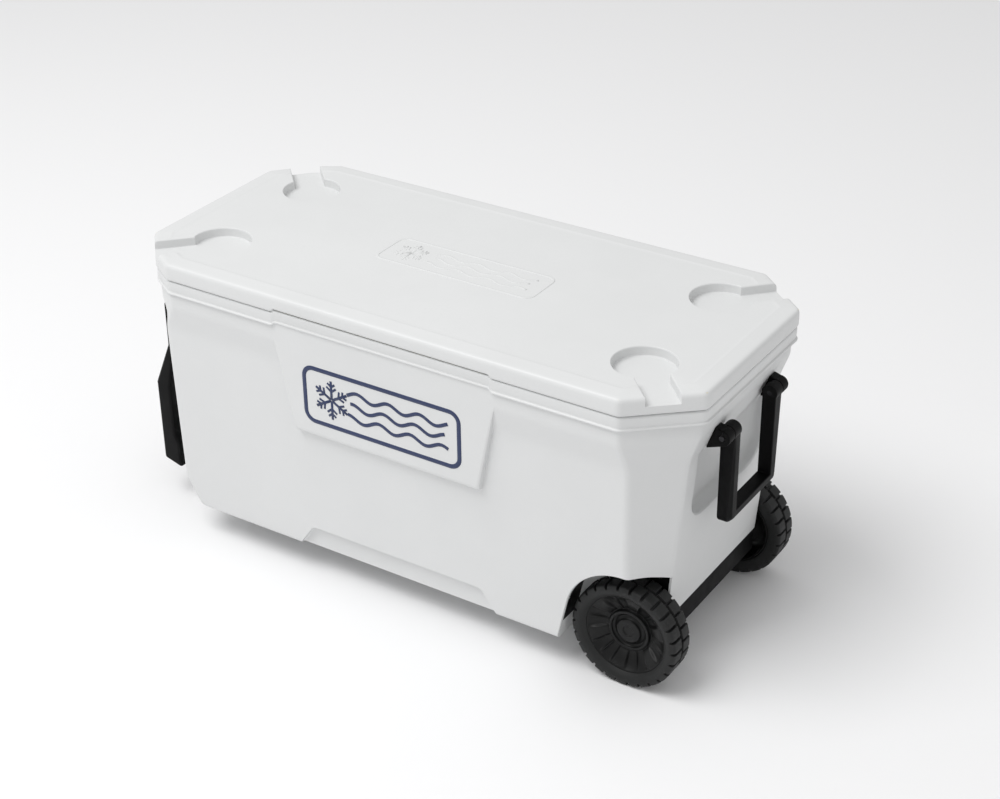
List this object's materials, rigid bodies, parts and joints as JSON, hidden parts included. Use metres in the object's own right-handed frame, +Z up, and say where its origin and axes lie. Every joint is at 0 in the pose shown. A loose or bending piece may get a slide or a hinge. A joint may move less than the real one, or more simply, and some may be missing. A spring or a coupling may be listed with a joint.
{
  "type": "wheeled cooler",
  "caption": "Long insulated cooler on wheels with a hinged lid, recessed cup wells, a folding bail handle over the wheels and a swinging tow handle at the other end.",
  "frame": {"origin": "middle of the cooler's overall length and width, on the floor", "axes": "+X along the length towards the wheels, +Y from the front to the hinge side, +Z up"},
  "size_m": [0.987, 0.4424, 0.479],
  "materials": {
    "shell_white": "satin moulded, fine grain",
    "liner_white": "smooth satin",
    "foam": "cellular",
    "black_plastic": "fine grain",
    "handle_black": "fine grain, worn at the corners",
    "wheel_tread": "dull moulded",
    "wheel_hub": "satin moulded",
    "steel": "zinc plated",
    "hinge_white": "satin moulded",
    "rubber_black": "dull",
    "badge_blue": "printed label, satin"
  },
  "bodies": {
    "root": {"tub_shell": "shell_white", "tub_liner": "liner_white", "tub_rim": "shell_white", "tub_foam": "foam", "wheel_arch_liner_front": "black_plastic", "wheel_arch_liner_rear": "black_plastic", "axle_beam": "black_plastic", "axle": "steel", "axle_spacer_front": "black_plastic", "axle_spacer_rear": "black_plastic", "axle_push_cap_front": "steel", "axle_push_cap_rear": "steel", "foot_front": "rubber_black", "foot_rear": "rubber_black", "bail_bracket_front": "black_plastic", "bail_bracket_rear": "black_plastic", "bail_pins": "steel", "tow_bracket_front": "black_plastic", "tow_bracket_rear": "black_plastic", "tow_pins": "steel", "hinge_lower_left": "hinge_white", "hinge_lower_middle": "hinge_white", "hinge_lower_right": "hinge_white", "hinge_pins": "steel", "hinge_screws_tub": "steel", "badge": "badge_blue", "drain_spout": "hinge_white", "drain_washer": "rubber_black", "drain_nut": "hinge_white"},
    "lid": {"lid_shell": "shell_white", "lid_liner": "liner_white", "lid_foam": "foam", "hinge_upper_left": "hinge_white", "hinge_upper_middle": "hinge_white", "hinge_upper_right": "hinge_white", "hinge_screws_lid": "steel"},
    "bail": {"bail_handle": "handle_black"},
    "tow": {"tow_handle": "handle_black"},
    "wheel_front": {"wheel_tyre_front": "wheel_tread", "wheel_rim_front": "wheel_hub", "wheel_bush_front": "black_plastic", "wheel_hub_cap_front": "wheel_hub"},
    "wheel_rear": {"wheel_tyre_rear": "wheel_tread", "wheel_rim_rear": "wheel_hub", "wheel_bush_rear": "black_plastic", "wheel_hub_cap_rear": "wheel_hub"},
    "drain": {"drain_cap": "black_plastic"}
  },
  "joints": [
    {"name": "lid_hinge", "type": "hinge", "parent": "root", "child": "lid", "pos_m": [0.0115, 0.2214, 0.45], "axis": [-1, 0, 0], "range_deg": [0, 100]},
    {"name": "bail_swing", "type": "hinge", "parent": "root", "child": "bail", "pos_m": [0.4815, 0, 0.383], "axis": [0, -1, 0], "range_deg": [0, 110]},
    {"name": "tow_swing", "type": "hinge", "parent": "root", "child": "tow", "pos_m": [-0.4505, 0, 0.352], "axis": [0, 1, 0], "range_deg": [0, 140]},
    {"name": "wheel_front_spin", "type": "hinge", "parent": "root", "child": "wheel_front", "pos_m": [0.3925, -0.1655, 0.0828], "axis": [0, 1, 0], "continuous": true},
    {"name": "wheel_rear_spin", "type": "hinge", "parent": "root", "child": "wheel_rear", "pos_m": [0.3925, 0.1655, 0.0828], "axis": [0, 1, 0], "continuous": true},
    {"name": "drain_cap_turn", "type": "hinge", "parent": "root", "child": "drain", "pos_m": [-0.3185, 0.21, 0.092], "axis": [0, 1, 0], "range_deg": [0, 540]}
  ]
}
